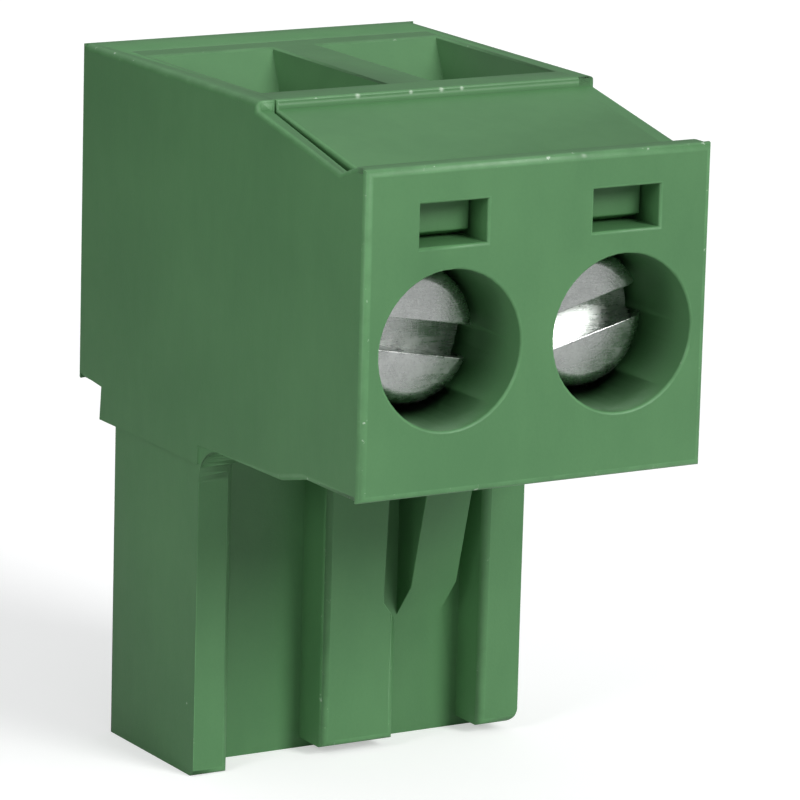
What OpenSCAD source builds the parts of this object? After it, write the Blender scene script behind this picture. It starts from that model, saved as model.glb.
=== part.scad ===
// Pluggable terminal block with two poles. A moulded housing carries the plug end; a wire-entry cover snaps
// into its top. Each pole has a screw, a clamp cage that the screw draws forwards, and a sheet-metal contact.
// The origin is on the plug end, at mid-width and on the pin row. +Z points from the plug to the wire
// entries, -Y out of the screw face. The shapes are drawn with the screw face at y = 0 and then moved back
// by in_frame(), so a distance in y is a depth behind the screw face.

/* [Block] */
// Distance between the two pin centres, and the width of one pole
pitch = 5.0; // [5:0.01:7.62]
// Depth from the screw face to the back
block_depth = 15.0; // [14.8:0.1:20]
// Height of the block above the plug
block_height = 9.9; // [9.7:0.1:14]
// Depth of the pin row behind the screw face
pin_row = 11.2; // [11.1:0.1:11.4]
// Height of the screw axis above the plug
screw_above_plug = 4.45; // [4.3:0.05:4.6]
// Radius of the block's outer edges
edge_radius = 0.2; // [0.05:0.01:0.25]

/* [Top of the block] */
// Depth of the ridge over the screw face
ridge_depth = 0.6; // [0.3:0.05:0.9]
// Drop from the flat top to the ridge
ridge_drop = 0.8; // [0.6:0.05:1]
// Depth at which the slope starts, behind the ridge
slope_start = 1.35; // [1.3:0.05:1.8]
// Drop from the flat top to the start of the slope
slope_drop = 1.08; // [1.02:0.02:1.3]
// Angle of the slope
slope_angle = 11.3; // [8:0.1:12]
// Depth at which the flat top starts
step_depth = 5.5; // [4.5:0.1:6]

/* [Underside of the block] */
// Height of the screw face's lower edge above the plug
lip_above_plug = 0.8; // [0.6:0.05:1]
// Depth of the flat under the screw face
lip_depth = 2.8; // [2:0.1:3]
// Depth at which the ramp behind that flat ends
ramp_end = 4.06; // [3.5:0.01:5]
// Height of the underside above the plug
belly_above_plug = 0.5; // [0.45:0.05:0.6]
// Radius between the underside and the plug's ribs
belly_fillet = 1.0; // [0.5:0.1:1.2]
// Height of the notch along the back's lower edge
notch_height = 0.9; // [0.5:0.1:2]
// Depth of that notch
notch_depth = 1.4; // [0.5:0.1:1.4]
// How far the back of the notch leans outwards at its foot
notch_lean = 0.08; // [0:0.01:0.2]

/* [Walls] */
// Thickness of the wall between the screw face and the cover
skin_wall = 1.3; // [1.1:0.05:1.6]
// Thickness of the side walls beside the cover
side_wall = 0.53; // [0.45:0.01:0.8]
// Thickness of the back wall behind the cover
back_wall = 1.8; // [1:0.1:2]

/* [Plug] */
// Length of the plug below the block
plug_length = 8.4; // [7:0.1:12]
// Plug body in front of the pin row
plug_front = 1.75; // [1.7:0.05:1.8]
// Plug body behind the pin row
plug_back = 1.8; // [1.75:0.05:2]
// How far the plug's sides are set in from the block's
plug_inset = 0.05; // [0.02:0.01:0.2]
// Height of the ribs in front of the plug body
rib_height = 1.2; // [0.6:0.1:1.3]
// Width of the left rib
rib_left = 1.1; // [0.6:0.05:1.3]
// Width of the middle rib
rib_middle = 2.2; // [1.6:0.05:2.4]
// Width of the right rib
rib_right = 1.27; // [0.6:0.01:1.3]
// Radius of the ribs' edges and of the plug's rear edges
rib_radius = 0.2; // [0.1:0.05:0.3]
// How far the middle and right ribs stop short of the plug end
rib_short = 0.27; // [0.1:0.01:0.5]
// Radius of the right rib's outer end
rib_end_radius = 0.4; // [0.1:0.05:0.6]
// Thickness of the wall between the plug's front and the contacts
plug_wall = 0.6; // [0.5:0.05:0.65]
// Thickness of the plug's end wall
end_wall = 0.8; // [0.5:0.1:1.2]
// Side of the square hole that a header pin enters
pin_entry = 1.3; // [1.1:0.05:1.5]
// Width of the bevel round that hole
pin_bevel = 0.3; // [0.1:0.05:0.4]

/* [Locking wedge] */
// Width of the wedge
wedge_width = 1.4; // [0.8:0.1:1.6]
// Depth of its front face at the top
wedge_top_depth = 7.52; // [7.2:0.01:7.8]
// Depth of its front face at the tip
wedge_tip_depth = 8.72; // [8.4:0.01:9]
// Height of that tip above the plug end
wedge_tip_height = 4.24; // [3.5:0.01:5]
// Height above the plug end where the bevel below the tip meets the plug
wedge_foot_height = 3.3; // [2.5:0.1:3.4]
// How far the pocket's bends lie above and below the wedge's tip and foot
wedge_lead = 0.2; // [0.1:0.05:0.3]
// Width of the pocket beside the wedge, cut into the middle rib
pocket_width = 0.4; // [0.1:0.01:0.45]
// Width of that pocket at the top
pocket_top_width = 0.26; // [0.1:0.01:0.45]

/* [Screw] */
// Thread's outer diameter
screw_diameter = 3.0; // [2.5:0.1:3]
// Length from the face of the head to the tip
screw_length = 6.05; // [6:0.05:6.2]
// Diameter of the head
head_diameter = 3.6; // [3.2:0.05:3.7]
// Height of the head
head_height = 1.45; // [1:0.05:1.5]
// Radius of the head's upper edge
head_radius = 0.4; // [0.1:0.05:0.5]
// How far the head lies behind the screw face
head_recess = 1.75; // [1.6:0.05:1.8]
// Width of the driver slot
slot_width = 0.85; // [0.6:0.05:1]
// Depth of the driver slot
slot_depth = 0.9; // [0.5:0.05:1]
// Angle of the slot in each screw
slot_turns = [-10, 14.5];
// Clearance of the head in the hole that the driver enters
head_clearance = 0.22; // [0.1:0.01:0.25]
// Depth of the thread, which the neck under the head lacks
thread_depth = 0.3; // [0.2:0.01:0.35]
// Length of that neck
neck_length = 0.5; // [0.2:0.1:0.6]
// Height of the bevel at the tip
tip_bevel = 0.35; // [0.1:0.05:0.4]

/* [Clamp cage] */
// Outer width
cage_width = 3.76; // [3.6:0.01:3.8]
// Height along the wire
cage_height = 4.2; // [3.8:0.05:4.4]
// Thickness of the threaded wall
cage_nut = 1.6; // [1.3:0.05:1.6]
// Thickness of the wall that presses the wire
cage_jaw = 0.85; // [0.6:0.05:0.9]
// Thickness of its side walls
cage_side = 0.52; // [0.4:0.01:0.6]
// Outer corner radius
cage_radius = 0.5; // [0.3:0.05:0.6]
// Space for the wire with the cage open
wire_gap = 2.9; // [2.7:0.05:3]
// Distance that the screw can draw the cage forwards
cage_travel = 2.5; // [1:0.1:2.5]
// Clearance of the cage in its chamber, on each side
cage_side_clearance = 0.07; // [0.03:0.01:0.1]
// Clearance of the cage in front, with the clamp closed
cage_front_clearance = 0.1; // [0.05:0.01:0.2]
// Clearance of the cage behind, with the clamp open
cage_back_clearance = 0.2; // [0.05:0.01:0.25]
// Clearance under the cage
cage_floor_clearance = 0.25; // [0.05:0.01:0.3]
// Clearance over the cage
cage_top_clearance = 0.3; // [0.05:0.01:0.35]
// Space between the threaded wall and the contact, with the cage open
cage_play = 0.15; // [0.1:0.01:0.2]
// Clearance of the screw in the threaded wall and in its relief between the side walls
thread_clearance = 0.04; // [0.02:0.01:0.08]
// Depth of the gripping grooves
groove_depth = 0.2; // [0.1:0.01:0.3]

/* [Contact] */
// Thickness of the sheet
sheet = 0.5; // [0.4:0.05:0.6]
// Clearance of the contact inside the cage, on each side
bar_clearance = 0.16; // [0.08:0.01:0.25]
// Clearance of the contact in the housing
contact_clearance = 0.1; // [0.05:0.01:0.15]
// How far the contact's web lies below the floor under the cage
web_drop = 0.3; // [0.2:0.05:0.4]
// Inner radius of its bends
bend_radius = 0.25; // [0.15:0.05:0.3]
// Gap between the screw's tip and the contact
tip_gap = 0.05; // [0.02:0.01:0.1]
// How far the contact's channel reaches down into the plug, before its springs begin
channel_reach = 2.0; // [1:0.1:3]
// Width of each spring leaf
leaf_width = 1.5; // [1:0.1:1.6]
// Gap between the leaves where they grip a pin
leaf_gap = 0.6; // [0.4:0.05:0.8]
// Gap between the leaves at their flared mouth
leaf_mouth = 1.25; // [1.1:0.05:1.4]
// Height of the grip above the plug end
leaf_grip_height = 3.0; // [2.5:0.1:3.5]
// Height of the curved part of the grip, above and below its middle
leaf_grip_reach = 0.45; // [0.3:0.05:0.6]
// How far the leaf draws back over that height
leaf_grip_relief = 0.05; // [0.02:0.01:0.1]
// Height of the mouth above the plug end
leaf_mouth_height = 1.2; // [1:0.1:1.4]

/* [Wire-entry cover] */
// Clearance of the cover in the housing
cover_fit = 0.03; // [0.01:0.01:0.06]
// Play on the left of the cover at the step
play_at_step = 0.13; // [0.08:0.01:0.2]
// Play on the left of the cover at the screw face's ridge
play_at_ridge = 0.28; // [0.15:0.01:0.3]
// Depth at which the groove that this play leaves starts
play_start = 1.15; // [0.9:0.05:1.3]
// Height of that groove below the start of the slope
play_depth = 0.9; // [0.5:0.1:1]
// Width of a wire funnel at its mouth
funnel_width = 3.7; // [3:0.05:3.8]
// Depth of the front of the funnel's mouth
funnel_front = 6.45; // [6.2:0.05:7]
// Depth of the back of the funnel's mouth
funnel_back = 12.5; // [12:0.05:12.6]
// Height of the funnel
funnel_height = 1.5; // [1:0.1:1.8]
// Width of a window in the screw face
window_width = 1.94; // [1.6:0.02:2.2]
// Height of that window
window_height = 1.08; // [0.9:0.02:1.1]
// Height of the window above the cover's underside
window_rise = 0.23; // [0.2:0.01:0.3]
// Thickness of the cover over the hollow under its slope
cover_wall = 0.8; // [0.5:0.05:1]
// Thickness of the cover in front of that hollow
cover_front_wall = 1.2; // [0.8:0.05:1.4]
// Clearance of the cover's snap nose at the window's sides
nose_side_gap = 0.07; // [0.05:0.01:0.2]
// Clearance of the snap nose at the window's foot
nose_foot_gap = 0.2; // [0.1:0.01:0.3]
// Depth of the nose's face behind the screw face
nose_depth = 0.8; // [0.6:0.05:0.9]

/* [Hidden] */
$fn = 48;
// Overlap that joins solids and clears cuts
join = 0.1;

poles = [-pitch / 2, pitch / 2];
half_width = pitch;
plug_half = half_width - plug_inset;
top = plug_length + block_height;
core_front = pin_row - plug_front;
core_back = pin_row + plug_back;

// Screw, cage and contact, from the screw face backwards
screw_z = plug_length + screw_above_plug;
screw_tip = head_recess + screw_length;
bar_front = screw_tip + tip_gap;
cage_inner_front = bar_front - cage_play;
cage_front = cage_inner_front - cage_nut;
cage_inner_back = bar_front + sheet + wire_gap;
cage_back = cage_inner_back + cage_jaw;
// Thickness of the wall that guides the screws
screw_wall = cage_front - cage_travel - cage_front_clearance;
chamber_width = cage_width + 2 * cage_side_clearance;
chamber_floor = screw_z - cage_height / 2 - cage_floor_clearance;
chamber_back = cage_back + cage_back_clearance;
cover_floor = screw_z + cage_height / 2 + cage_top_clearance;
cage_inner_width = cage_width - 2 * cage_side;
thread_bore = screw_diameter + 2 * thread_clearance;

// Contact and the spaces that hold it
contact_width = cage_inner_width - 2 * bar_clearance;
cavity_width = contact_width + 2 * contact_clearance;
cavity_front = core_front + plug_wall;
cavity_depth = 2 * (pin_row - cavity_front);
web_top = chamber_floor - web_drop;
contact_top = cover_floor - contact_clearance;
base_front = cavity_front + contact_clearance;
channel_back = cavity_front + cavity_depth - contact_clearance;
channel_bottom = plug_length - channel_reach;
channel_top = web_top - sheet - bend_radius - contact_clearance;

// Block and plug
lip_z = plug_length + lip_above_plug;
belly_z = plug_length + belly_above_plug;
rib_front = core_front - rib_height;
notch_front = block_depth - notch_depth;
slope_z = top - slope_drop;
slope_end_z = slope_z + (step_depth - slope_start) * tan(slope_angle);
ridge_z = top - ridge_drop;
window_z = cover_floor + window_rise;
wedge_x = poles[1];

// Cover
cover_back = block_depth - back_wall;
pocket_half = half_width - side_wall;

// Moves a shape drawn from the screw face to the part's own origin.
module in_frame() {
    translate([0, -pin_row, 0]) children();
}

// Profiles drawn as [depth, height], [width, height] or [width, depth], pushed through the third direction.
module through_width(x0, x1) {
    translate([x0, 0, 0]) rotate([90, 0, 90]) linear_extrude(x1 - x0) children();
}
module through_depth(y0, y1) {
    translate([0, y1, 0]) rotate([90, 0, 0]) linear_extrude(y1 - y0) children();
}
module through_height(z0, z1) {
    translate([0, 0, z0]) linear_extrude(z1 - z0) children();
}

// What a rounding takes off a square corner at the point given. The material lies in the quadrant that
// opens towards +x and +y, turned by the angle given.
module corner_cut(point, turn, r) {
    translate(point) rotate(turn) difference() {
        translate([-join, -join]) square(r + join);
        translate([r, r]) circle(r);
    }
}

// A rectangle with all four corners rounded.
module rounded_rectangle(low, high, r) {
    difference() {
        translate(low) square([high[0] - low[0], high[1] - low[1]]);
        corner_cut(low, 0, r);
        corner_cut([high[0], low[1]], 90, r);
        corner_cut(high, 180, r);
        corner_cut([low[0], high[1]], 270, r);
    }
}

// The points of an arc.
function arc(centre, r, from, to, steps) = [
    for (i = [0:steps]) let (a = from + (to - from) * i / steps) centre + r * [cos(a), sin(a)]
];

// Side view of the block, with its ridge, slope, step and wavy underside.
module block_side() {
    difference() {
        polygon([
            [0, lip_z],
            [lip_depth, lip_z],
            [ramp_end, belly_z],
            [rib_front + join, belly_z],
            [rib_front + join, plug_length],
            [notch_front + notch_lean, plug_length],
            [notch_front, plug_length + notch_height],
            [block_depth, plug_length + notch_height],
            [block_depth, top],
            [step_depth, top],
            [step_depth, slope_end_z],
            [slope_start, slope_z],
            [ridge_depth, ridge_z],
            [0, ridge_z]
        ]);
        corner_cut([0, lip_z], 0, edge_radius);
        corner_cut([0, ridge_z], 270, edge_radius);
        corner_cut([block_depth, top], 180, edge_radius);
        corner_cut([block_depth, plug_length + notch_height], 90, edge_radius);
    }
}

// The block seen from above, with its upright edges rounded.
module block_plan() {
    rounded_rectangle([-half_width, 0], [half_width, block_depth], edge_radius);
}

// The plug's body seen from above, with its rear edges rounded.
module plug_plan() {
    difference() {
        translate([-plug_half, core_front]) square([2 * plug_half, core_back - core_front]);
        corner_cut([-plug_half, core_back], 270, rib_radius);
        corner_cut([plug_half, core_back], 180, rib_radius);
    }
}

// Side view of a rib, with the fillet that carries it into the block's underside.
module rib_side(bottom) {
    difference() {
        translate([rib_front, bottom]) square([rib_height + join, belly_z + join - bottom]);
        corner_cut([rib_front, bottom], 0, rib_radius);
    }
    difference() {
        translate([rib_front - belly_fillet, belly_z - belly_fillet])
            square([belly_fillet + join, belly_fillet + join]);
        translate([rib_front - belly_fillet, belly_z - belly_fillet]) circle(belly_fillet);
    }
}

// A rib between two widths. Its edges towards the recesses are rounded.
module rib(x0, x1, bottom, left_round, right_round) {
    intersection() {
        through_width(x0, x1) rib_side(bottom);
        through_height(0, top) difference() {
            translate([x0, rib_front - belly_fillet]) square([x1 - x0, belly_fillet + rib_height + join]);
            if (left_round) rib_corner(x0, 0);
            if (right_round) rib_corner(x1, 90);
        }
    }
}

// Rounds a rib's edge below the fillet, seen from above.
module rib_corner(x, turn) {
    corner_cut([x, rib_front], turn, rib_radius);
}

// The wedge that locks the plug in its header, with the bevel below its tip.
module locking_wedge() {
    through_width(wedge_x - wedge_width / 2, wedge_x + wedge_width / 2) polygon([
        [wedge_top_depth, belly_z + join],
        [wedge_tip_depth, wedge_tip_height],
        [core_front, wedge_foot_height],
        [core_front + join, wedge_foot_height],
        [core_front + join, belly_z + join]
    ]);
}

// The pocket beside the wedge, cut into the middle rib. Its lower end slants out past the wedge's tip.
module wedge_pocket_cut() {
    edge = rib_middle / 2;
    slant_low = wedge_foot_height + wedge_lead;
    slant_high = wedge_tip_height - wedge_lead;
    through_depth(rib_front - join, core_front) polygon([
        [edge + join, plug_length],
        [edge - pocket_top_width, plug_length],
        [edge - pocket_width, wedge_tip_height + wedge_lead],
        [edge - pocket_width, slant_high],
        [edge, slant_low],
        [edge + join, slant_low]
    ]);
}

// Space for one pole's screw, cage and contact.
module pole_cavity(x) {
    translate([x, 0, 0]) {
        // Driver hole, through to the chamber
        translate([0, -join, screw_z]) rotate([-90, 0, 0])
            cylinder(r = head_diameter / 2 + head_clearance, h = screw_wall + 2 * join, $fn = 96);
        // Chamber
        through_height(chamber_floor, cover_floor + join)
            translate([-chamber_width / 2, screw_wall]) square([chamber_width, chamber_back - screw_wall]);
        // Slot for the contact's web
        translate([-cavity_width / 2, bar_front - contact_clearance, web_top - sheet - contact_clearance])
            cube([cavity_width, pin_row - bar_front, web_drop + sheet + contact_clearance + join]);
        // Spring cavity in the plug
        translate([-cavity_width / 2, cavity_front, end_wall])
            cube([cavity_width, cavity_depth, chamber_floor - end_wall + join]);
        pin_hole();
        // Window over the driver hole
        translate([-window_width / 2, -join, window_z])
            cube([window_width, skin_wall + 2 * join, window_height]);
    }
}

// Square hole for a header pin, with a bevelled mouth.
module pin_hole() {
    narrow = pin_entry / 2;
    wide = narrow + pin_bevel + join;
    mouth = [[-wide, -join], [wide, -join], [narrow, pin_bevel], [-narrow, pin_bevel]];
    translate([-narrow, pin_row - narrow, -join]) cube([pin_entry, pin_entry, end_wall + 2 * join]);
    intersection() {
        through_width(-wide, wide) translate([pin_row, 0]) polygon(mouth);
        through_depth(pin_row - wide, pin_row + wide) polygon(mouth);
    }
}

// Space for the cover between the side walls, and the play on its left.
module cover_pocket() {
    translate([-pocket_half, skin_wall, cover_floor])
        cube([2 * pocket_half, cover_back - skin_wall, top - cover_floor + join]);
    through_height(slope_z - play_depth, top + join) polygon([
        [-pocket_half + join, play_start],
        [-pocket_half + cover_fit - play_at_ridge, play_start],
        [-pocket_half + cover_fit - play_at_step, step_depth],
        [-pocket_half + join, step_depth]
    ]);
}

module housing() {
    color([0.33, 0.56, 0.35]) in_frame() difference() {
        union() {
            intersection() {
                through_width(-half_width, half_width) block_side();
                through_height(0, top) block_plan();
            }
            through_height(0, plug_length + join) plug_plan();
            through_height(plug_length, belly_z + join)
                translate([-half_width, rib_front]) square([2 * half_width, core_front - rib_front + join]);
            rib(-plug_half, -half_width + rib_left, 0, false, true);
            rib(-rib_middle / 2, rib_middle / 2, rib_short, true, true);
            rib(half_width - rib_right, plug_half, rib_short, true, false);
            locking_wedge();
        }
        for (x = poles) pole_cavity(x);
        cover_pocket();
        wedge_pocket_cut();
        through_depth(rib_front - join, core_front) corner_cut([plug_half, rib_short], 90, rib_end_radius);
    }
}

// Side view of the cover: the block's slope, step and flat top, without the ridge.
module cover_side() {
    polygon([
        [skin_wall + cover_fit, cover_floor],
        [cover_back - cover_fit, cover_floor],
        [cover_back - cover_fit, top],
        [step_depth, top],
        [step_depth, slope_end_z],
        [skin_wall + cover_fit, slope_z + (skin_wall + cover_fit - slope_start) * tan(slope_angle)]
    ]);
}

// A wire funnel: its sides close in from the mouth to a straight hole over the clamp.
module funnel() {
    hole_front = bar_front + sheet;
    hole_back = cage_inner_back;
    shoulder = top - funnel_height;
    intersection() {
        through_width(-funnel_width, funnel_width) polygon([
            [funnel_front, top],
            [funnel_front, top + join],
            [funnel_back, top + join],
            [funnel_back, top],
            [hole_back, top - (funnel_back - hole_back)],
            [hole_back, cover_floor - join],
            [hole_front, cover_floor - join],
            [hole_front, shoulder]
        ]);
        through_depth(funnel_front - join, funnel_back + join) polygon([
            [-funnel_width / 2, top + join],
            [-funnel_width / 2, top],
            [-cage_inner_width / 2, shoulder],
            [-cage_inner_width / 2, cover_floor - join],
            [cage_inner_width / 2, cover_floor - join],
            [cage_inner_width / 2, shoulder],
            [funnel_width / 2, top],
            [funnel_width / 2, top + join]
        ]);
    }
}

// The nose that snaps into a window, with a ramp below its face.
module snap_nose() {
    half = window_width / 2 - nose_side_gap;
    foot = window_z + nose_foot_gap;
    head = window_z + window_height - cover_fit;
    through_width(-half, half) polygon([
        [nose_depth, foot],
        [nose_depth, head],
        [skin_wall + cover_fit + join, head],
        [skin_wall + cover_fit + join, foot - nose_foot_gap],
        [skin_wall, foot - nose_foot_gap]
    ]);
}

module wire_entry_cover() {
    half = pocket_half - cover_fit;
    color([0.36, 0.60, 0.38]) in_frame() {
        difference() {
            through_width(-half, half) cover_side();
            for (x = poles) translate([x, 0, 0]) {
                funnel();
                // Hollow under the slope
                translate([-cage_inner_width / 2, skin_wall + cover_front_wall, cover_floor - join])
                    cube([cage_inner_width, step_depth - skin_wall - cover_front_wall,
                          slope_z - cover_wall - cover_floor + join]);
            }
        }
        for (x = poles) translate([x, 0, 0]) snap_nose();
    }
}

// A slotted screw, drawn along +Z from the face of its head and laid along the depth.
module screw(pole) {
    thread_r = screw_diameter / 2;
    head_r = head_diameter / 2;
    neck_r = thread_r - thread_depth;
    neck_end = head_height + neck_length;
    rim = [for (p = arc([head_r - head_radius, head_radius], head_radius, -90, 0, 6)) p];
    outline = concat([[0, 0]], rim, [
        [head_r, head_height],
        [neck_r, head_height],
        [neck_r, neck_end],
        [thread_r, neck_end + thread_depth],
        [thread_r, screw_length - tip_bevel],
        [thread_r - tip_bevel, screw_length],
        [0, screw_length]
    ]);
    color([0.75, 0.77, 0.76]) in_frame() translate([poles[pole], head_recess, screw_z]) difference() {
        rotate([-90, 0, 0]) rotate_extrude($fn = 96) polygon(outline);
        rotate([0, -slot_turns[pole], 0]) translate([-head_r - join, -join, -slot_width / 2])
            cube([head_diameter + 2 * join, slot_depth + join, slot_width]);
    }
}

// A clamp cage: a square sleeve whose front wall is threaded and whose rear wall presses the wire.
module clamp_cage(pole) {
    half = cage_width / 2;
    inner = cage_inner_width / 2;
    grooves = 4;
    groove_step = cage_height / (grooves + 1);
    color([0.72, 0.73, 0.70]) in_frame() translate([poles[pole], 0, 0]) difference() {
        through_height(screw_z - cage_height / 2, screw_z + cage_height / 2) difference() {
            rounded_rectangle([-half, cage_front], [half, cage_back], cage_radius);
            rounded_rectangle([-inner, cage_inner_front], [inner, cage_inner_back], cage_radius / 2);
        }
        // Threaded hole, which runs on as a relief in the side walls for as far as the screw's tip comes in
        translate([0, cage_front - join, screw_z]) rotate([-90, 0, 0])
            cylinder(d = thread_bore, h = bar_front + cage_travel - cage_front + join, $fn = 96);
        for (i = [1:grooves])
            through_width(-inner + cage_radius / 2, inner - cage_radius / 2)
                translate([cage_inner_back, screw_z - cage_height / 2 + i * groove_step])
                    rotate(45) square(groove_depth * sqrt(2), center = true);
    }
}

// One straight leg of the sheet in side view, between two corners given as [depth, height].
module leg(low, high) {
    translate(low) square([high[0] - low[0], high[1] - low[1]]);
}

// Side view of the clamping bar, the web that leads back over the plug, and the base plate of the springs.
module bar_and_web_side() {
    outer = bend_radius + sheet;
    difference() {
        union() {
            leg([bar_front, web_top - sheet], [bar_front + sheet, contact_top]);
            leg([bar_front, web_top - sheet], [base_front + sheet, web_top]);
            leg([base_front, channel_bottom], [base_front + sheet, web_top]);
            translate([bar_front + sheet, web_top]) square(bend_radius);
            translate([base_front - bend_radius, web_top - sheet - bend_radius]) square(bend_radius);
        }
        corner_cut([bar_front, web_top - sheet], 0, outer);
        corner_cut([base_front + sheet, web_top], 180, outer);
        translate([bar_front + sheet + bend_radius, web_top + bend_radius]) circle(bend_radius);
        translate([base_front - bend_radius, web_top - sheet - bend_radius]) circle(bend_radius);
    }
}

// The channel above the springs, seen from above: the base plate with a wing bent back on each side.
module channel_plan() {
    half = contact_width / 2;
    difference() {
        translate([-half, base_front]) square([contact_width, channel_back - base_front]);
        translate([-half + sheet, base_front + sheet]) square([contact_width - 2 * sheet, cavity_depth]);
        corner_cut([-half, base_front], 0, bend_radius + sheet);
        corner_cut([half, base_front], 90, bend_radius + sheet);
    }
}

// Front view of one spring leaf: it closes on the pin at the grip and flares out at the mouth.
module leaf_front() {
    inside = contact_width / 2 - sheet;
    grip_low = leaf_grip_height - leaf_grip_reach;
    grip_high = leaf_grip_height + leaf_grip_reach;
    polygon([
        [inside, channel_bottom + join],
        [leaf_gap / 2 + leaf_grip_relief, grip_high],
        [leaf_gap / 2, leaf_grip_height],
        [leaf_gap / 2 + leaf_grip_relief, grip_low],
        [leaf_mouth / 2, leaf_mouth_height],
        [leaf_mouth / 2 + sheet, leaf_mouth_height],
        [leaf_gap / 2 + sheet, grip_low],
        [leaf_gap / 2 + sheet, grip_high],
        [inside + sheet, channel_bottom + join]
    ]);
}

module contact(pole) {
    half = contact_width / 2;
    leaf_start = pin_row - leaf_width / 2;
    color([0.82, 0.80, 0.74]) in_frame() translate([poles[pole], 0, 0]) {
        through_width(-half, half) bar_and_web_side();
        through_height(channel_bottom, channel_top) channel_plan();
        through_depth(leaf_start, leaf_start + leaf_width) {
            leaf_front();
            mirror([1, 0]) leaf_front();
        }
    }
}

module screw_1() { screw(0); }
module screw_2() { screw(1); }
module clamp_cage_1() { clamp_cage(0); }
module clamp_cage_2() { clamp_cage(1); }
module contact_1() { contact(0); }
module contact_2() { contact(1); }

housing();
wire_entry_cover();
screw_1();
screw_2();
clamp_cage_1();
clamp_cage_2();
contact_1();
contact_2();
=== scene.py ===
# %% [markdown]
# # A pluggable terminal block with two poles
#
# This lesson dresses a terminal block that was first drawn as exact solids. The solids give every size and
# every moving joint. What they lack is what the eye looks for: edges that a mould leaves slightly round, a
# thread on the screws, and surfaces that look like polyamide and plated steel.
#
# Everything is in metres. Sizes of a part this small are easier to read in millimetres, so MM turns one into
# the other.

# %% Load the solids
from math import atan2, cos, pi, radians, sin

import bmesh
import bpy
from mathutils import Matrix, Vector


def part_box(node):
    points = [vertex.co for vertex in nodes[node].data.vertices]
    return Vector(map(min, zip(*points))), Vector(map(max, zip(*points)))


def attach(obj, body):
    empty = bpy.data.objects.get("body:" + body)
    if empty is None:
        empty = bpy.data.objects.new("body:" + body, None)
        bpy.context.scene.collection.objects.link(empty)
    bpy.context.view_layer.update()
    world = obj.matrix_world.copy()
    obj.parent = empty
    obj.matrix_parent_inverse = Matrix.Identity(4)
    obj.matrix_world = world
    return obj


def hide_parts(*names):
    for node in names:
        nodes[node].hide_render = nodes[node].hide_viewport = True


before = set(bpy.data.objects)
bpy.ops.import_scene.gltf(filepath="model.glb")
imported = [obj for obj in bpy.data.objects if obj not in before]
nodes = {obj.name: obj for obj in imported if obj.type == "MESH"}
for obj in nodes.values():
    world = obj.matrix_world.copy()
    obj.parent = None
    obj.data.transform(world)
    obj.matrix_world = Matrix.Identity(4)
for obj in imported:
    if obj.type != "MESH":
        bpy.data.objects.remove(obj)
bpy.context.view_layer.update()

MM = 0.001
print("solids:", ", ".join(sorted(nodes)))

# %% [markdown]
# ## The sizes that the looks need
#
# The outer box of each solid is measured. The few heights and depths between those boxes repeat the names
# and values of the solid model, so that a rule such as "the edge over the plug" can say what it means.

# %% Measure the solids
housing_low, housing_high = (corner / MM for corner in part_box("housing"))
cover_low, cover_high = (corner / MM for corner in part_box("wire_entry_cover"))
HALF_WIDTH = housing_high.x
FRONT, BACK = housing_low.y, housing_high.y
TOP = housing_high.z
PLUG_HALF = HALF_WIDTH - 0.05
PLUG_TOP = 8.4
BELLY = 8.9
LIP = 9.2
RIDGE = TOP - 0.8
STEP = FRONT + 5.5
RIB_FRONT = -2.95
PLUG_FRONT = -1.75
POCKET_HALF = 4.47
COVER_BACK = BACK - 1.8
OUTER_RADIUS = 0.2
POLES = [-2.5, 2.5]
SCREW_HEIGHT = 12.85
print(f"block {2 * HALF_WIDTH:.2f} x {BACK - FRONT:.2f} x {TOP:.2f} mm")

# %% [markdown]
# ## The camera
#
# The block is seen from its front left, a little from above, and from about 150 mm away. A long lens at that
# distance keeps the upright edges nearly parallel. The camera leans by one and a half degrees, so its axes
# are worked out and handed over as a matrix: right, up and backwards are its three columns.

# %% Make the camera
AZIMUTH, ELEVATION, ROLL = radians(-30.827), radians(13.086), radians(1.5616)
backwards = Vector((sin(AZIMUTH) * cos(ELEVATION), -cos(AZIMUTH) * cos(ELEVATION), sin(ELEVATION)))
level_right = (-backwards).cross(Vector((0, 0, 1))).normalized()
level_up = level_right.cross(-backwards)
right = cos(ROLL) * level_right + sin(ROLL) * level_up
up = cos(ROLL) * level_up - sin(ROLL) * level_right
camera = bpy.data.objects.new("camera", bpy.data.cameras.new("camera"))
bpy.context.scene.collection.objects.link(camera)
pose = Matrix((right, up, backwards)).transposed().to_4x4()
pose.translation = Vector((-70.966, -123.569, 42.166)) * MM
camera.matrix_world = pose
camera.data.lens = 248.05
camera.data.sensor_width = 36
camera.data.clip_start = 0.01
camera.data.clip_end = 10
bpy.context.scene.camera = camera
print(f"camera {pose.translation.length / MM:.0f} mm from the plug, {camera.data.lens:.0f} mm lens")

# %% [markdown]
# ## Shader arithmetic
#
# A material is a network of small nodes. Written out link by link it hides the idea behind it, so this class
# wraps one socket and lets Python's own operators add the Math nodes. Any other node comes from `of`: its
# type, then its settings, then the values or links of its sockets. The tree that is being built is kept on
# the class itself.

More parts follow.
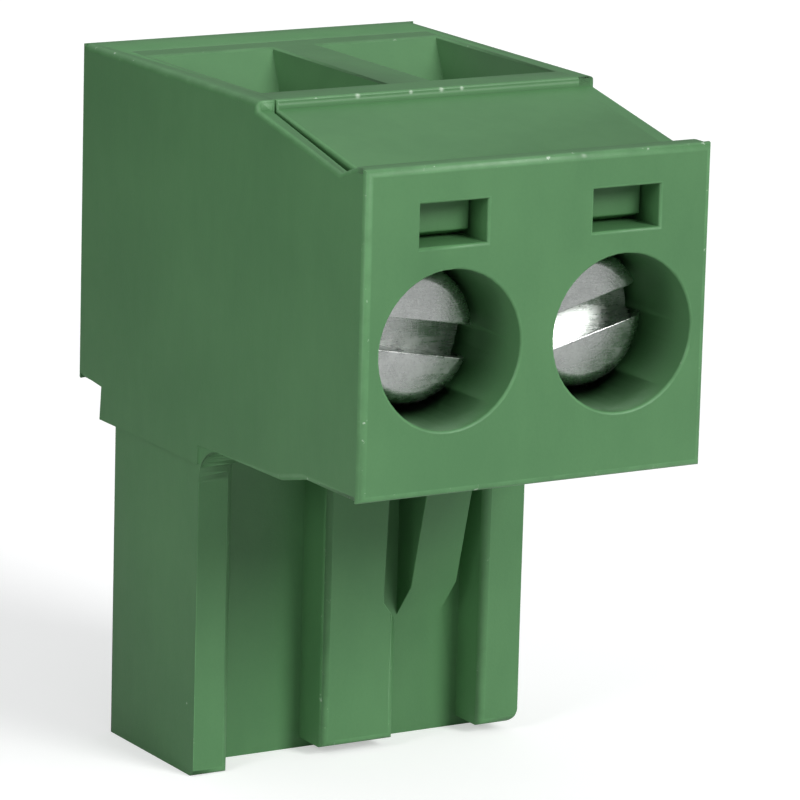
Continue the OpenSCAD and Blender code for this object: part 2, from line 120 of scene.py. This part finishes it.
# %% Wrap a socket
class Wire:
    """The output of a shader node, with which Python can calculate."""

    tree = None

    def __init__(self, socket):
        self.socket = socket

    @classmethod
    def of(cls, kind, settings, inputs, output=0):
        made = cls.tree.nodes.new(kind)
        for name, value in settings.items():
            if name == "stops":
                cls.colour_stops(made.color_ramp, value)
            else:
                setattr(made, name, value)
        cls.connect(made, inputs)
        return cls(made.outputs[output])

    @classmethod
    def connect(cls, made, inputs):
        for key, value in inputs.items():
            if isinstance(value, Wire):
                cls.tree.links.new(value.socket, made.inputs[key])
            else:
                made.inputs[key].default_value = value

    @staticmethod
    def colour_stops(ramp, stops):
        while len(ramp.elements) < len(stops):
            ramp.elements.new(1)
        for element, (position, level) in zip(ramp.elements, stops):
            element.position = position
            element.color = (level, level, level, 1)

    def _math(self, operation, *values):
        return Wire.of("ShaderNodeMath", {"operation": operation}, dict(enumerate(values)))

    def __add__(self, other):
        return self._math("ADD", self, other)

    def __sub__(self, other):
        return self._math("SUBTRACT", self, other)

    def __rsub__(self, other):
        return self._math("SUBTRACT", other, self)

    def __mul__(self, other):
        return self._math("MULTIPLY", self, other)

    def __abs__(self):
        return self._math("ABSOLUTE", self)

    __radd__ = __add__
    __rmul__ = __mul__

    def ramp(self, low, high, to_low=0.0, to_high=1.0):
        """Rises smoothly from to_low to to_high while the value goes from low to high."""
        return Wire.of(
            "ShaderNodeMapRange",
            {"interpolation_type": "SMOOTHSTEP"},
            {0: self, 1: low, 2: high, 3: to_low, 4: to_high},
        )


# %% [markdown]
# Patterns have to sit still on the piece, so they read Object coordinates, here scaled to millimetres. A
# noise scale is then simply the number of blotches in a millimetre. Stretching the place before the noise
# draws the blotches out into streaks.

# %% Patterns on a piece
def place_in_mm():
    place = Wire.of("ShaderNodeTexCoord", {}, {}, "Object")
    return Wire.of("ShaderNodeVectorMath", {"operation": "SCALE"}, {0: place, "Scale": 1 / MM})


def stretched(place, factors):
    return Wire.of("ShaderNodeVectorMath", {"operation": "MULTIPLY"}, {0: place, 1: factors})


def noise(place, scale, detail=3.0, roughness=0.55, distortion=0.0):
    inputs = {"Vector": place, "Scale": scale, "Detail": detail}
    return Wire.of("ShaderNodeTexNoise", {}, {**inputs, "Roughness": roughness, "Distortion": distortion})


def spot(place, centre, radius):
    """1 in the middle of a spot and 0 outside it."""
    away = Wire.of("ShaderNodeVectorMath", {"operation": "DISTANCE"}, {0: place, 1: centre}, "Value")
    return away.ramp(0, radius, 1, 0)


def mixed(factor, first, second):
    """A colour between two colours."""
    inputs = {0: factor, 6: first, 7: second}
    return Wire.of("ShaderNodeMix", {"data_type": "RGBA"}, inputs, output=2)


def bump(height, distance_mm, strength=1.0):
    return Wire.of("ShaderNodeBump", {}, {"Height": height, "Distance": distance_mm * MM, "Strength": strength})


def new_material(name):
    material = bpy.data.materials.new(name)
    material.use_nodes = True
    Wire.tree = material.node_tree
    return material, material.node_tree.nodes["Principled BSDF"]


print("shader helpers are ready")

# %% [markdown]
# ## Green polyamide
#
# The housing and the cover are moulded in pigmented polyamide. Its skin is a fine satin: a mould texture of
# a few hundredths of a millimetre breaks up the gloss, and slow clouds of lighter and darker green show
# where the melt flowed. Rounded edges get a painted highlight: their green is made paler, for the light that a
# rounded edge catches. Sparse whitened spots and nicks on the edges are real wear from handling.
#
# The painted edge highlight and the edge wear both follow an attribute that the mesh code sets to 1 on rounded
# edges. A noise breaks the painted highlight up into patches of different strength, so that it isn't even.

# %% Mix the plastic
def polyamide(name, deep, pale, nicks):
    """Moulded plastic between two greens. Each nick is (centre in mm, radius in mm)."""
    material, surface = new_material(name)
    place = place_in_mm()
    clouds = noise(place, 0.22, detail=2.0)
    streaks = noise(stretched(place, (1.0, 1.0, 0.35)), 1.6, detail=4.0)
    grain = noise(place, 13.0, detail=4.0, roughness=0.65)
    pores = noise(place, 30.0, detail=2.0)
    tone = 0.55 * clouds + 0.25 * streaks + 0.20 * grain
    green = mixed(tone.ramp(0.32, 0.68), (*deep, 1), (*pale, 1))

    # 1 on rounded edges: the mask for both the painted edge highlight and the real edge wear.
    wear = Wire.of("ShaderNodeAttribute", {"attribute_name": "wear"}, {}, "Fac")
    # Painted highlight: each rounded edge is mixed in patches towards a paler green, standing in for the light it
    # catches.
    patches = noise(place, 1.3, detail=5.0, roughness=0.6)
    painted_edge_highlight = wear * patches.ramp(0.30, 0.66, 0.25, 1.0)
    edge_highlight_green = tuple(channel * 1.45 + 0.022 for channel in pale)
    green = mixed(0.42 * painted_edge_highlight, green, (*edge_highlight_green, 1))

    # Real wear: sparse whitened rubbing along the edges, and the nicks.
    rubbed = wear * noise(place, 3.4, detail=6.0, roughness=0.7).ramp(0.61, 0.70)
    for centre, radius in nicks:
        rubbed = rubbed + spot(place, centre, radius)
    whitened = (0.62 * rubbed).ramp(0.0, 1.0)
    green = mixed(whitened, green, (0.62, 0.74, 0.60, 1))

    roughness = 0.43 + 0.10 * noise(place, 2.2, detail=3.0) + 0.06 * grain - 0.05 * painted_edge_highlight
    height = 0.6 * grain + 0.3 * pores + 1.2 * streaks
    Wire.connect(
        surface,
        {
            "Base Color": green,
            "Roughness": roughness,
            "Normal": bump(height, 0.006),
            "IOR": 1.52,
            "Specular IOR Level": 0.5,
        },
    )
    return material


housing_nicks = [
    ((-4.35, STEP, TOP - 0.08), 0.09),
    ((1.20, FRONT, RIDGE - 0.02), 0.16),
    ((-4.95, RIB_FRONT + 0.4, 1.9), 0.05),
]
cover_nicks = [
    ((-2.10, STEP, TOP - 0.05), 0.13),
    ((-0.55, STEP, TOP - 0.06), 0.10),
    ((0.35, STEP, TOP - 0.05), 0.12),
    ((0.95, STEP, TOP - 0.06), 0.10),
]
housing_plastic = polyamide("housing_polyamide", (0.070, 0.200, 0.074), (0.086, 0.232, 0.088), housing_nicks)
cover_plastic = polyamide("cover_polyamide", (0.072, 0.203, 0.075), (0.088, 0.235, 0.089), cover_nicks)
print("plastics:", housing_plastic.name, cover_plastic.name)

# %% [markdown]
# ## Plated metal
#
# Zinc plating on a small turned screw is a mottled, slightly milky grey. Turning leaves rings on the head,
# and drivers leave scratches. The rings are a noise read along the distance from the screw's axis. Both
# screws share one material, because the distance uses the size of x without its sign, and the poles lie the
# same way off the middle.
#
# The clamp cages are bent from plated strip and the contacts are tinned, so they get rolling streaks along
# the strip instead of rings.

# %% Plate the metals
def plated(name, dark, light, roughness_range, rings, streak, height_mm):
    """Plated metal between two greys, with turning rings or with streaks along one direction."""
    material, surface = new_material(name)
    place = place_in_mm()
    mottle = noise(place, 2.4, detail=5.0, roughness=0.6)
    crystals = noise(place, 16.0, detail=3.0, roughness=0.6)
    if rings:
        parts = Wire.tree.nodes.new("ShaderNodeSeparateXYZ")
        Wire.tree.links.new(place.socket, parts.inputs[0])
        x, y, z = (Wire(output) for output in parts.outputs)
        off_x, off_z = abs(x) - POLES[1], z - SCREW_HEIGHT
        radius = Wire._math(None, "SQRT", off_x * off_x + off_z * off_z)
        along = Wire.of("ShaderNodeCombineXYZ", {}, {0: 1.0 * radius, 1: 0.15 * y, 2: 0.0})
        marks = noise(along, 14.0, detail=3.0, roughness=0.6)
        scratches = noise(stretched(place, (0.5, 1.0, 9.0)), 2.6, detail=5.0, roughness=0.7, distortion=0.4)
    else:
        marks = noise(stretched(place, streak), 6.0, detail=4.0, roughness=0.6)
        scratches = noise(stretched(place, streak), 14.0, detail=2.0)
    tone = 0.5 * mottle + 0.3 * crystals + 0.2 * scratches
    metal = mixed(tone.ramp(0.36, 0.64), (*dark, 1), (*light, 1))
    smooth, rough = roughness_range
    roughness = (0.5 * mottle + 0.5 * scratches).ramp(0.35, 0.65, smooth, rough)
    height = 0.5 * marks + 0.3 * scratches + 0.2 * crystals
    Wire.connect(
        surface,
        {
            "Base Color": metal,
            "Metallic": 1.0,
            "Roughness": roughness,
            "Normal": bump(height, height_mm),
        },
    )
    return material


screw_zinc = plated("screw_zinc_plate", (0.52, 0.54, 0.52), (0.70, 0.72, 0.70), (0.20, 0.36), True, None, 0.006)
cage_zinc = plated(
    "cage_zinc_plate", (0.44, 0.46, 0.44), (0.66, 0.68, 0.65), (0.28, 0.45), False, (0.2, 0.2, 2.0), 0.008
)
contact_tin = plated(
    "contact_tin_plate", (0.60, 0.58, 0.52), (0.80, 0.78, 0.72), (0.22, 0.38), False, (2.0, 2.0, 0.2), 0.005
)
print("metals:", screw_zinc.name, cage_zinc.name, contact_tin.name)

# %% [markdown]
# ## From solid to moulding
#
# A solid model has knife edges, and a moulding never has. The plastic pieces could be drawn again in
# Blender, but then they would no longer be the same shape. A copy of the solid with its edges rounded keeps
# every size.
#
# The copy arrives as loose triangles. They are merged first, and flat neighbours are joined, so that an edge
# is one edge. Each piece then gives a rule that says how round an edge is at a place, and the rule is stored
# as a bevel weight.

# %% Copy a solid and round its edges
WIDEST = 0.25
BEVEL_STEPS = 4
WELD = 1e-7
SHARP = radians(40)
SHORTEST = 0.15


def merged_copy(node):
    """The mesh of a solid in millimetres, as one closed skin with its flat faces joined."""
    shape = bmesh.new()
    shape.from_mesh(nodes[node].data)
    bmesh.ops.remove_doubles(shape, verts=shape.verts, dist=WELD)
    bmesh.ops.scale(shape, vec=(1 / MM,) * 3, verts=shape.verts)
    bmesh.ops.dissolve_limit(shape, angle_limit=radians(0.5), verts=shape.verts, edges=shape.edges)
    return shape


def evaluated_copy(piece, name):
    """Applies a piece's modifiers by making a new plain mesh from the result."""
    result = bpy.data.meshes.new_from_object(piece.evaluated_get(bpy.context.evaluated_depsgraph_get()))
    result.name = name
    piece.modifiers.clear()
    piece.data = result
    return piece


def new_piece(name, shape, material):
    """An object at the origin from a shape in millimetres."""
    bmesh.ops.scale(shape, vec=(MM,) * 3, verts=shape.verts)
    mesh = bpy.data.meshes.new(name)
    shape.to_mesh(mesh)
    shape.free()
    piece = bpy.data.objects.new(name, mesh)
    bpy.context.scene.collection.objects.link(piece)
    mesh.materials.clear()
    mesh.materials.append(material)
    mesh.polygons.foreach_set("material_index", [0] * len(mesh.polygons))
    return piece


def weigh_edges(shape, radius_at):
    """Stores how round each outward edge is. Edges along and across the facets of a curve stay as they are."""
    weight = shape.edges.layers.float.new("bevel_weight_edge")
    rounded = 0
    for edge in shape.edges:
        if not edge.is_manifold or not edge.is_convex:
            continue
        if edge.calc_face_angle() < SHARP or edge.calc_length() < SHORTEST:
            continue
        middle = (edge.verts[0].co + edge.verts[1].co) / 2
        edge[weight] = radius_at(middle) / WIDEST
        rounded += edge[weight] > 0
    return rounded


def moulded(node, name, material, shape, radius_at):
    """Turns a merged copy into a piece with rounded edges that stands for the solid."""
    rounded = weigh_edges(shape, radius_at)
    piece = new_piece(name, shape, material)
    bevel = piece.modifiers.new("rounding", "BEVEL")
    bevel.limit_method = "WEIGHT"
    bevel.width = WIDEST * MM
    bevel.segments = BEVEL_STEPS
    bevel.use_clamp_overlap = False
    evaluated_copy(piece, name)
    smooth_flats(piece)
    mark_edge_wear_and_highlight(piece)
    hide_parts(node)
    print(f"{name}: {rounded} edges rounded, {len(piece.data.polygons)} faces")
    return piece


# %% [markdown]
# Smooth shading alone would bend the light over the big flat faces next to a rounded edge. The Weighted
# Normal modifier lets the larger face win, so flats stay flat and only the rounding turns.
#
# The attribute for the painted edge highlight and the edge wear looks at the faces round a point. A face is
# part of a rounding when it is a narrow strip, and a point is on the edge when nothing but such strips meets
# there.

# %% Shade flats flat and find the edges for the painted highlight and the wear
STRIP_WIDTH = 0.09


def smooth_flats(piece, sharp_from=35):
    piece.data.polygons.foreach_set("use_smooth", [True] * len(piece.data.polygons))
    piece.data.set_sharp_from_angle(angle=radians(sharp_from))
    weighted = piece.modifiers.new("flat_normals", "WEIGHTED_NORMAL")
    weighted.keep_sharp = True
    weighted.weight = 100
    return evaluated_copy(piece, piece.name)


# Sets 1 on rounded edges: the mask for the painted edge highlight and for the edge wear.
def mark_edge_wear_and_highlight(piece):
    shape = bmesh.new()
    shape.from_mesh(piece.data)
    narrow = {}
    for face in shape.faces:
        longest = max(edge.calc_length() for edge in face.edges)
        narrow[face.index] = face.calc_area() / longest < STRIP_WIDTH * MM
    levels = [float(all(narrow[face.index] for face in point.link_faces)) for point in shape.verts]
    shape.free()
    wear = piece.data.attributes.new("wear", "FLOAT", "POINT")
    wear.data.foreach_set("value", levels)


print("moulding helpers are ready")

# %% [markdown]
# ## The housing
#
# The housing is one moulding: the block with the screw face, and the ribbed plug below it. Its outer edges
# are the roundest. The thin wall beside the cover can carry less, and the narrow ledge where the block
# overhangs the plug hardly any. Edges deep inside are left alone, and so are those of the seam along the flat
# top, where cover and housing close without a gap.

# %% Round the housing
def housing_radius(at):
    x, y, z = abs(at.x), at.y, at.z
    if x > HALF_WIDTH - OUTER_RADIUS - 0.01 and (y < FRONT + OUTER_RADIUS or y > BACK - OUTER_RADIUS):
        return 0.0
    if z < BELLY + 0.02 and y > RIB_FRONT - 1.1:
        inside_plug = -1.2 < y < 1.7 and x < 4.6
        return 0.0 if inside_plug or z < 0.35 or z > PLUG_TOP - 0.1 else 0.03
    if x > HALF_WIDTH - 0.02:
        if at.x < 0 and z > RIDGE - 0.5 and y < STEP + 0.01:
            return 0.14
        return OUTER_RADIUS - 0.01
    on_flat_top = z > TOP - 0.01 and y > STEP + 0.02
    right_seam = at.x > POCKET_HALF - 0.05 and z > RIDGE - 0.5 and y > FRONT + 1.3
    inside_block = FRONT + 0.3 < y < BACK - 0.1 and x < 4.6 and BELLY + 0.05 < z < RIDGE - 0.4
    if on_flat_top or right_seam or inside_block:
        return 0.0
    if y < FRONT + 0.02:
        return 0.08
    return 0.05


housing = moulded("housing", "housing_moulding", housing_plastic, merged_copy("housing"), housing_radius)

# %% [markdown]
# ## The wire-entry cover
#
# The cover is a second moulding that snaps in from above. On the flat top its joint can't be seen, because
# the two mouldings press together there, while a groove is left along the slope's left edge. The solid keeps
# a small clearance all round, so the copy's right, rear and upper left faces are moved out to the housing
# before the edges are rounded.

# %% Close the joint and round the cover
def cover_radius(at):
    x, y, z = at.x, at.y, at.z
    if z > TOP - 0.01 and y > STEP + 0.02:
        return 0.0 if abs(x) > POCKET_HALF - 0.05 or y > COVER_BACK - 0.1 else 0.08
    if x > POCKET_HALF - 0.1 or z < cover_low.z + 0.2:
        return 0.0
    if abs(y - STEP) < 0.02 and z > TOP - 0.1:
        return 0.07
    if x < 0.1 - POCKET_HALF and z > RIDGE - 0.5 and y < STEP - 0.02:
        return 0.14
    return 0.05


cover_shape = merged_copy("wire_entry_cover")
for point in cover_shape.verts:
    if point.co.x > cover_high.x - 0.01:
        point.co.x = POCKET_HALF
    if point.co.y > cover_high.y - 0.01:
        point.co.y = COVER_BACK
    if point.co.x < cover_low.x + 0.01 and point.co.y > STEP - 0.01 and point.co.z > TOP - 0.01:
        point.co.x = -POCKET_HALF
cover = moulded("wire_entry_cover", "cover_moulding", cover_plastic, cover_shape, cover_radius)

# %% [markdown]
# ## The screws
#
# A clamping screw has a round-edged head with a driver slot, a short neck and an M3 thread. The solid stands
# in for the thread with a smooth shaft. The copy's shaft is drawn in to the root of the thread, and the
# thread itself is swept round it.
#
# A thread repeats one small profile along a helix, which is what Geometry Nodes do well: a spiral curve, a
# four-sided profile, and Curve to Mesh. The tree has named inputs for the sizes, so the same tree serves any
# screw.

# %% Build the thread's node tree
ROOT_RADIUS, CREST_RADIUS, THREAD_PITCH = 1.2, 1.47, 0.5
THREAD_START, THREAD_END = -7.4, -3.6
SIDES_PER_TURN = 48


def group_with_inputs(name, inputs):
    """An empty Geometry Nodes tree with named inputs, and a function that adds a node to it."""
    tree = bpy.data.node_groups.new(name, "GeometryNodeTree")
    tree.interface.new_socket("Geometry", in_out="INPUT", socket_type="NodeSocketGeometry")
    for label, (kind, default) in inputs.items():
        socket = tree.interface.new_socket(label, in_out="INPUT", socket_type="NodeSocket" + kind)
        if default is not None:
            socket.default_value = default
    tree.interface.new_socket("Geometry", in_out="OUTPUT", socket_type="NodeSocketGeometry")

    def add(kind, settings, sockets):
        made = tree.nodes.new(kind)
        for key, value in settings.items():
            setattr(made, key, value)
        for key, value in sockets.items():
            if isinstance(value, bpy.types.NodeSocket):
                tree.links.new(value, made.inputs[key])
            else:
                made.inputs[key].default_value = value
        return made

    return tree, add, add("NodeGroupInput", {}, {}).outputs


def close_group(tree, add, geometry, material):
    """Ends a tree as the export needs it: real geometry with its material."""
    real = add("GeometryNodeRealizeInstances", {}, {0: geometry}).outputs[0]
    finished = add("GeometryNodeSetMaterial", {}, {"Geometry": real, "Material": material}).outputs[0]
    add("NodeGroupOutput", {}, {0: finished})


def run_group(name, tree, values):
    """Runs a tree on an empty mesh and returns the result as a plain piece."""
    piece = bpy.data.objects.new(name, bpy.data.meshes.new(name))
    bpy.context.scene.collection.objects.link(piece)
    modifier = piece.modifiers.new(name, "NODES")
    modifier.node_group = tree
    identifiers = {item.name: item.identifier for item in tree.interface.items_tree if item.in_out == "INPUT"}
    for label, value in values.items():
        modifier[identifiers[label]] = value
    return evaluated_copy(piece, name)


def math_adder(add):
    """Adds a Math node and returns its output."""
    def calculate(operation, *values):
        return add("ShaderNodeMath", {"operation": operation}, dict(enumerate(values))).outputs[0]
    return calculate


thread_tree, add, given = group_with_inputs(
    "screw_thread",
    {
        "Turns": ("Float", 7.0),
        "Pitch": ("Float", 0.0005),
        "Root Radius": ("Float", 0.0012),
        "Depth": ("Float", 0.0003),
        "Centre": ("Vector", None),
        "Material": ("Material", None),
    },
)
calculate = math_adder(add)
helix = add(
    "GeometryNodeCurveSpiral",
    {},
    {
        "Resolution": SIDES_PER_TURN,
        "Rotations": given["Turns"],
        "Start Radius": given["Root Radius"],
        "End Radius": given["Root Radius"],
        "Height": calculate("MULTIPLY", given["Turns"], given["Pitch"]),
    },
)
upright = add("GeometryNodeSetCurveNormal", {"mode": "Z_UP"}, {"Curve": helix.outputs[0]})
along = add("GeometryNodeSplineParameter", {}, {}).outputs["Factor"]
nearest_end = calculate("MINIMUM", along, calculate("SUBTRACT", 1.0, along))
run_in = calculate("MINIMUM", 1.0, calculate("MULTIPLY", nearest_end, calculate("MULTIPLY", given["Turns"], 2.0)))
profile = add("GeometryNodeCurvePrimitiveCircle", {}, {"Resolution": 4, "Radius": 1.0})
profile_size = add(
    "ShaderNodeCombineXYZ",
    {},
    {0: given["Depth"], 1: calculate("MULTIPLY", given["Pitch"], 0.47), 2: 1.0},
)
shaped = add("GeometryNodeTransform", {}, {"Geometry": profile.outputs[0], "Scale": profile_size.outputs[0]})
swept = add(
    "GeometryNodeCurveToMesh",
    {},
    {
        "Curve": upright.outputs[0],
        "Profile Curve": shaped.outputs[0],
        "Scale": calculate("MAXIMUM", run_in, 0.05),
        "Fill Caps": True,
    },
)
placed = add(
    "GeometryNodeTransform",
    {},
    {"Geometry": swept.outputs[0], "Rotation": (-pi / 2, 0, 0), "Translation": given["Centre"]},
)
close_group(thread_tree, add, placed.outputs[0], given["Material"])
print("thread tree:", len(thread_tree.nodes), "nodes;", [s.name for s in swept.inputs])

# %% [markdown]
# The shaft and the thread overlap, as a weld does, and both ride on the screw, so they are joined into one
# piece. Each screw's slot stands at its own angle, which the solid already has.

# %% Make both screws
def screw_radius(at):
    """The slot's edges and the head's underside are broken by a few hundredths."""
    return 0.05 if at.y < -8.3 else 0.03


def drawn_in_shaft(node, pole):
    """The screw's copy with its threaded length brought in to the root of the thread."""
    shape = merged_copy(node)
    for point in shape.verts:
        off_x, off_z = point.co.x - pole, point.co.z - SCREW_HEIGHT
        distance = (off_x**2 + off_z**2) ** 0.5
        if point.co.y > -7.6 and distance > ROOT_RADIUS:
            point.co.x = pole + off_x * ROOT_RADIUS / distance
            point.co.z = SCREW_HEIGHT + off_z * ROOT_RADIUS / distance
    return shape


def joined(first, others):
    """Joins pieces into the first one."""
    shape = bmesh.new()
    for piece in [first, *others]:
        shape.from_mesh(piece.data)
    shape.to_mesh(first.data)
    shape.free()
    for piece in others:
        bpy.data.objects.remove(piece)
    return first


turns = (THREAD_END - THREAD_START) / THREAD_PITCH
for number, pole in enumerate(POLES, start=1):
    node = f"screw_{number}"
    screw = moulded(node, f"screw_{number}_turned", screw_zinc, drawn_in_shaft(node, pole), screw_radius)
    thread = run_group(
        f"screw_{number}_thread",
        thread_tree,
        {
            "Turns": turns,
            "Pitch": THREAD_PITCH * MM,
            "Root Radius": ROOT_RADIUS * MM,
            "Depth": (CREST_RADIUS - ROOT_RADIUS) * MM,
            "Centre": Vector((pole, THREAD_START, SCREW_HEIGHT)) * MM,
            "Material": screw_zinc,
        },
    )
    print("thread faces", len(thread.data.polygons), "box", [round(v / MM, 3) for v in thread.dimensions])
    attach(joined(screw, [thread]), f"screw_body_{number}")

# %% [markdown]
# ## Bodies, slots and the metal parts inside
#
# The housing and the cover don't move against each other, so both ride on the block. The clamp cages and the
# contacts keep their exact solids and only get their plating.

# %% Attach the pieces
for piece, slot in ((housing, "housing_plastic"), (cover, "cover_plastic")):
    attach(piece, "block")
for number in (1, 2):
    nodes[f"clamp_cage_{number}"].material_slots[0].material = cage_zinc
    nodes[f"contact_{number}"].material_slots[0].material = contact_tin
print("plated:", ", ".join(sorted(name for name in nodes if "cage" in name or "contact" in name)))

# %% [markdown]
# ## The studio
#
# The block stands on a pale floor under a soft sky. The floor matters as much as a lamp: it throws light back
# up on the screw face and into the metal of the screws. To the camera the paper glows a little, as paper on
# a light table does, so that it stays pale without throwing back more light than the picture needs.
#
# A pale wall stands far away for the low views. Only the camera sees it, so it takes no part in the light.

# %% Lay the floor
def turned_profile(name, outline, steps, material):
    """A surface of revolution about the upright axis, from [radius, height] points in metres."""
    shape = bmesh.new()
    rings = []
    for radius, height in outline:
        turn = [2 * pi * step / steps for step in range(steps)]
        rings.append([shape.verts.new((radius * cos(a), radius * sin(a), height)) for a in turn])
    for inner, outer in zip(rings, rings[1:]):
        for step in range(steps):
            after = (step + 1) % steps
            shape.faces.new((inner[step], outer[step], outer[after], inner[after]))
    mesh = bpy.data.meshes.new(name)
    shape.to_mesh(mesh)
    shape.free()
    mesh.materials.append(material)
    mesh.polygons.foreach_set("use_smooth", [True] * len(mesh.polygons))
    piece = bpy.data.objects.new(name, mesh)
    bpy.context.scene.collection.objects.link(piece)
    return piece


FLOOR_RADIUS, WALL_BEND = 0.6, 0.8
paper, paper_surface = new_material("studio_paper")
to_camera = Wire.of("ShaderNodeLightPath", {}, {}, "Is Camera Ray")
Wire.connect(
    paper_surface,
    {
        "Base Color": (0.69, 0.69, 0.69, 1),
        "Roughness": 1.0,
        "Specular IOR Level": 0.0,
        "Emission Color": (1, 1, 1, 1),
        "Emission Strength": 0.46 * to_camera,
    },
)
floor = turned_profile("studio_floor", [(0.001, 0.0), (0.1, 0.0), (FLOOR_RADIUS, 0.0)], 96, paper)
glow, glow_surface = new_material("studio_wall")
Wire.connect(glow_surface, {"Base Color": (0, 0, 0, 1), "Emission Color": (1, 1, 1, 1), "Emission Strength": 0.98})
turn = [radians(angle) for angle in range(0, 91, 6)]
bend = [(FLOOR_RADIUS - 0.01 + WALL_BEND * sin(a), WALL_BEND * (1 - cos(a))) for a in turn]
wall = turned_profile("studio_wall", bend, 96, glow)
wall.visible_diffuse = wall.visible_glossy = wall.visible_shadow = False
print("floor", round(2 * FLOOR_RADIUS, 2), "m across")

# %% [markdown]
# One soft sun stands in front and to the right, at the height of a window. It lights the screw face and
# reaches under the block as far as the ribs. The sky grows brighter with height and lights the top. A small
# lamp close to the left gives that side its fall-off from front to back, and a black card out of the
# picture keeps the floor's reflection off it, as a photographer's flag does.

# %% Light the block
def aimed(name, data, position, target):
    """A lamp that stands at a position and points at a target, both in millimetres."""
    lamp = bpy.data.objects.new(name, data)
    towards = (Vector(position) - Vector(target)).normalized()
    lamp.matrix_world = Matrix.Translation(Vector(position) * MM) @ (
        towards.to_track_quat("Z", "Y").to_matrix().to_4x4()
    )
    bpy.context.scene.collection.objects.link(lamp)
    return lamp


key = bpy.data.lights.new("key", "SUN")
key.energy = 0.69 * pi
key.angle = radians(24)
aimed("key", key, (300, -800, 520), (0, 0, 0))

side_lamp = bpy.data.lights.new("side_lamp", "AREA")
side_lamp.shape = "DISK"
side_lamp.size = 16 * MM
side_lamp.energy = 0.0065
aimed("side_lamp", side_lamp, (-45, -22, 30), (-5, -6, 12))

world = bpy.data.worlds.new("studio")
bpy.context.scene.world = world
world.use_nodes = True
Wire.tree = world.node_tree
direction = Wire.of("ShaderNodeTexCoord", {}, {}, "Generated")
height = Wire.of("ShaderNodeSeparateXYZ", {}, {0: direction}, "Z")
sky = world.node_tree.nodes["Background"]
Wire.connect(sky, {"Color": (0.97, 0.985, 1.0, 1), "Strength": height.ramp(0.0, 1.0, 0.13, 0.68)})
bpy.context.scene.view_settings.view_transform = "Standard"

flag, flag_surface = new_material("black_card")
Wire.connect(flag_surface, {"Base Color": (0.01, 0.01, 0.01, 1), "Roughness": 0.9, "Specular IOR Level": 0.0})
card = bpy.data.meshes.new("black_card")
corners = [(-22, 75, 0.2), (-52, -8, 0.2), (-52, -8, 42), (-22, 75, 42)]
card.from_pydata([Vector(corner) * MM for corner in corners], [], [(0, 1, 2, 3)])
card.materials.append(flag)
card = bpy.data.objects.new("black_card", card)
bpy.context.scene.collection.objects.link(card)
card.visible_camera = card.visible_shadow = False
